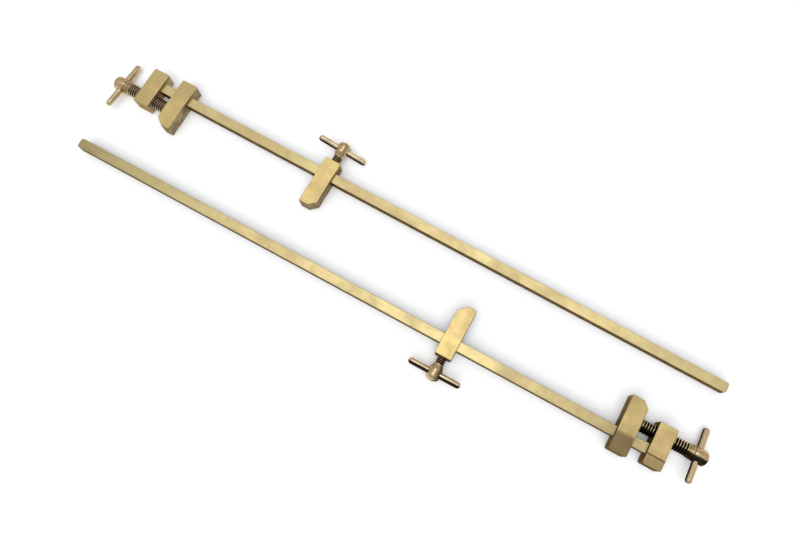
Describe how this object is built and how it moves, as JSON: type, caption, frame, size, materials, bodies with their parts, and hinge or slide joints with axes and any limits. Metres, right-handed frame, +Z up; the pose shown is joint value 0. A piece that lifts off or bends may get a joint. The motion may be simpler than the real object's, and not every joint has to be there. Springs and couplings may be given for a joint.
{
  "type": "pair of small bar clamps",
  "caption": "Matched pair of small brass bar clamps: square bar, screw block, screw-driven jaw and a stop jaw locked by a side screw, each screw turned by a tommy bar.",
  "frame": {"origin": "centre of the pair's bounding box, on the table it lies on", "axes": "+X along clamp A's bar, from its screw head to its free end; +Y across the pair from clamp B to clamp A; +Z up"},
  "size_m": [0.3422, 0.0826, 0.0085],
  "materials": {
    "bar_brass": "drawn bar, brushed along its length, lightly tarnished",
    "block_brass": "filed and linished, uneven patina, edges worn bright",
    "screw_brass": "turned, old polish on the heads, dark in the thread",
    "rod_brass": "drawn rod, rubbed smooth, brownish tarnish",
    "pin_brass": "plain, filed flush, hidden in use"
  },
  "bodies": {
    "clamp_a_frame": {"clamp_a_bar": "bar_brass", "clamp_a_screw_block": "block_brass", "clamp_a_block_pin": "pin_brass"},
    "clamp_a_jaw": {"clamp_a_moving_jaw": "block_brass", "clamp_a_jaw_pin": "pin_brass"},
    "clamp_a_main_screw": {"clamp_a_main_screw": "screw_brass", "clamp_a_main_tommy_bar": "rod_brass"},
    "clamp_a_stop": {"clamp_a_stop_jaw": "block_brass"},
    "clamp_a_pad": {"clamp_a_lock_pad": "pin_brass"},
    "clamp_a_lock_screw": {"clamp_a_lock_screw": "screw_brass", "clamp_a_lock_tommy_bar": "rod_brass"},
    "clamp_b_frame": {"clamp_b_bar": "bar_brass", "clamp_b_screw_block": "block_brass", "clamp_b_block_pin": "pin_brass"},
    "clamp_b_jaw": {"clamp_b_moving_jaw": "block_brass", "clamp_b_jaw_pin": "pin_brass"},
    "clamp_b_main_screw": {"clamp_b_main_screw": "screw_brass", "clamp_b_main_tommy_bar": "rod_brass"},
    "clamp_b_stop": {"clamp_b_stop_jaw": "block_brass"},
    "clamp_b_pad": {"clamp_b_lock_pad": "pin_brass"},
    "clamp_b_lock_screw": {"clamp_b_lock_screw": "screw_brass", "clamp_b_lock_tommy_bar": "rod_brass"}
  },
  "joints": [
    {"name": "clamp_a_jaw_slide", "type": "slide", "parent": "clamp_a_frame", "child": "clamp_a_jaw", "axis": [1, 0, 0], "range_m": [-0.0077, 0.0068]},
    {"name": "clamp_a_main_screw_turn", "type": "hinge", "parent": "clamp_a_jaw", "child": "clamp_a_main_screw", "pos_m": [-0.13829, 0.01321, 0.00425], "axis": [1, 0, 0], "range_deg": [-2183.7, 1928.6]},
    {"name": "clamp_a_stop_slide", "type": "slide", "parent": "clamp_a_frame", "child": "clamp_a_stop", "axis": [1, 0, 0], "range_m": [-0.0708, 0.2086]},
    {"name": "clamp_a_lock_pad_slide", "type": "slide", "parent": "clamp_a_stop", "child": "clamp_a_pad", "axis": [0, 1, 0], "range_m": [0, 0.00159]},
    {"name": "clamp_a_lock_screw_turn", "type": "hinge", "parent": "clamp_a_pad", "child": "clamp_a_lock_screw", "pos_m": [-0.04734, 0.02521, 0.00425], "axis": [0, 1, 0], "range_deg": [0, 541]},
    {"name": "clamp_b_jaw_slide", "type": "slide", "parent": "clamp_b_frame", "child": "clamp_b_jaw", "axis": [-0.9999, -0.0133, 0], "range_m": [-0.0068, 0.0077]},
    {"name": "clamp_b_main_screw_turn", "type": "hinge", "parent": "clamp_b_jaw", "child": "clamp_b_main_screw", "pos_m": [0.1383, -0.012, 0.00425], "axis": [-0.9999, -0.0133, 0], "range_deg": [-1928.6, 2183.7]},
    {"name": "clamp_b_stop_slide", "type": "slide", "parent": "clamp_b_frame", "child": "clamp_b_stop", "axis": [-0.9999, -0.0133, 0], "range_m": [-0.0708, 0.2086]},
    {"name": "clamp_b_lock_pad_slide", "type": "slide", "parent": "clamp_b_stop", "child": "clamp_b_pad", "axis": [0.0133, -0.9999, 0], "range_m": [0, 0.00159]},
    {"name": "clamp_b_lock_screw_turn", "type": "hinge", "parent": "clamp_b_pad", "child": "clamp_b_lock_screw", "pos_m": [0.04661, -0.02521, 0.00425], "axis": [0.0133, -0.9999, 0], "range_deg": [0, 541]},
    {"name": "clamp_b_apart", "type": "slide", "parent": "clamp_a_frame", "child": "clamp_b_frame", "axis": [0, -1, 0], "range_m": [0, 0.15]}
  ],
  "couplings": [
    {"joint": "clamp_a_main_screw_turn", "follows": "clamp_a_jaw_slide", "rad_per_m": 4947.4},
    {"joint": "clamp_a_lock_screw_turn", "follows": "clamp_a_lock_pad_slide", "rad_per_m": 5936.9},
    {"joint": "clamp_b_main_screw_turn", "follows": "clamp_b_jaw_slide", "rad_per_m": 4947.4},
    {"joint": "clamp_b_lock_screw_turn", "follows": "clamp_b_lock_pad_slide", "rad_per_m": 5936.9}
  ]
}
